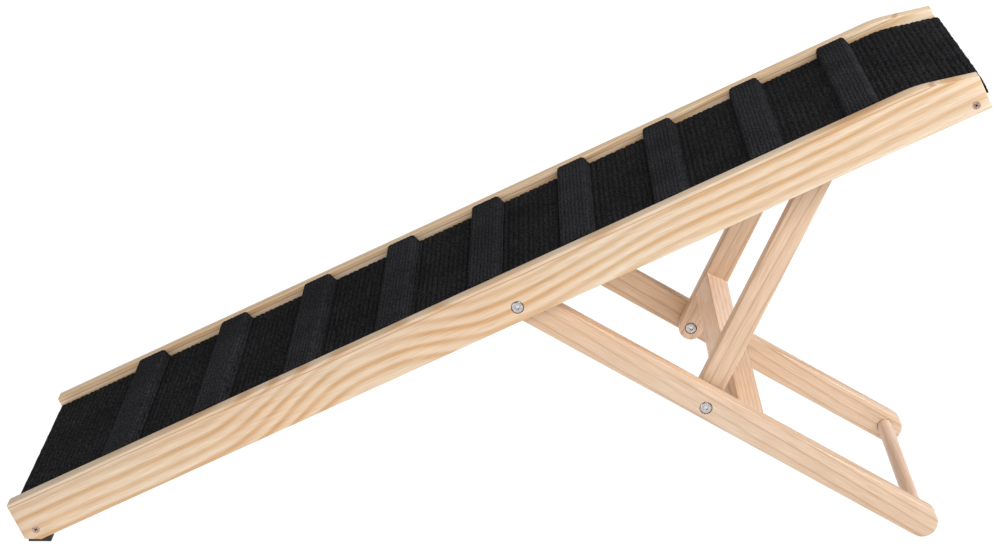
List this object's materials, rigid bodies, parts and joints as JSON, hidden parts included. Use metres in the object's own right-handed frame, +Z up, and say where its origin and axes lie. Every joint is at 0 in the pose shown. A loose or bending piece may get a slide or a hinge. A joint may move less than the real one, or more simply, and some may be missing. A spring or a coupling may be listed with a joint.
{
  "type": "dog ramp",
  "caption": "Folding pine dog ramp with a black ribbed carpet deck, carpeted cleats and a strut-braced folding leg frame",
  "frame": {"origin": "Middle of the footprint on the floor, with the ramp open on its third notch", "axes": "+X up the ramp towards the high end, +Y to the left going up, +Z up"},
  "size_m": [0.967, 0.35, 0.481],
  "materials": {
    "rail_pine": "clear satin lacquer over planed pine",
    "leg_pine": "clear satin lacquer over planed pine",
    "dowel_wood": "sanded hardwood dowel",
    "plywood": "sanded poplar plywood",
    "plain_pine": "planed pine",
    "black_carpet": "ribbed polypropylene carpet",
    "cleat_carpet": "finely ribbed polypropylene carpet",
    "screw_steel": "yellow zinc plated",
    "black_rubber": "moulded matte rubber",
    "washer_steel": "zinc plated",
    "bolt_chrome": "bright nickel plated"
  },
  "bodies": {
    "ramp": {"right_side_rail": "rail_pine", "left_side_rail": "rail_pine", "deck_panel": "plywood", "landing_panel": "plywood", "low_cross_rail": "plain_pine", "high_cross_rail": "plain_pine", "carpet": "black_carpet", "cleat_batten_1": "plain_pine", "cleat_batten_2": "plain_pine", "cleat_batten_3": "plain_pine", "cleat_batten_4": "plain_pine", "cleat_batten_5": "plain_pine", "cleat_batten_6": "plain_pine", "cleat_batten_7": "plain_pine", "cleat_batten_8": "plain_pine", "cleat_batten_9": "plain_pine", "cleat_cover_1": "cleat_carpet", "cleat_cover_2": "cleat_carpet", "cleat_cover_3": "cleat_carpet", "cleat_cover_4": "cleat_carpet", "cleat_cover_5": "cleat_carpet", "cleat_cover_6": "cleat_carpet", "cleat_cover_7": "cleat_carpet", "cleat_cover_8": "cleat_carpet", "cleat_cover_9": "cleat_carpet", "right_notch_rack": "plain_pine", "left_notch_rack": "plain_pine", "cross_rail_screws": "screw_steel", "rack_screws": "screw_steel", "cleat_screws": "screw_steel", "right_rubber_foot": "black_rubber", "left_rubber_foot": "black_rubber", "leg_pivot_bolts": "bolt_chrome", "leg_barrel_nuts": "bolt_chrome", "leg_washers": "washer_steel"},
    "leg_frame": {"right_leg": "leg_pine", "left_leg": "leg_pine", "leg_cross_rail": "leg_pine", "leg_rail_dowels": "dowel_wood", "foot_dowel": "dowel_wood", "strut_pivot_bolts": "bolt_chrome", "strut_barrel_nuts": "bolt_chrome", "strut_washers": "washer_steel"},
    "strut_frame": {"right_strut": "leg_pine", "left_strut": "leg_pine", "strut_cross_block": "leg_pine", "cross_block_dowels": "dowel_wood", "catch_bar": "dowel_wood"}
  },
  "joints": [
    {"name": "leg_fold", "type": "hinge", "parent": "ramp", "child": "leg_frame", "pos_m": [0.02824, 0, 0.24795], "axis": [0, 1, 0], "range_deg": [0, 124]},
    {"name": "strut_fold", "type": "hinge", "parent": "leg_frame", "child": "strut_frame", "pos_m": [0.21658, 0, 0.13694], "axis": [0, 1, 0], "range_deg": [-84, 0]}
  ],
  "couplings": [
    {"joint": "strut_fold", "follows": "leg_fold", "ratio": -0.6774}
  ]
}
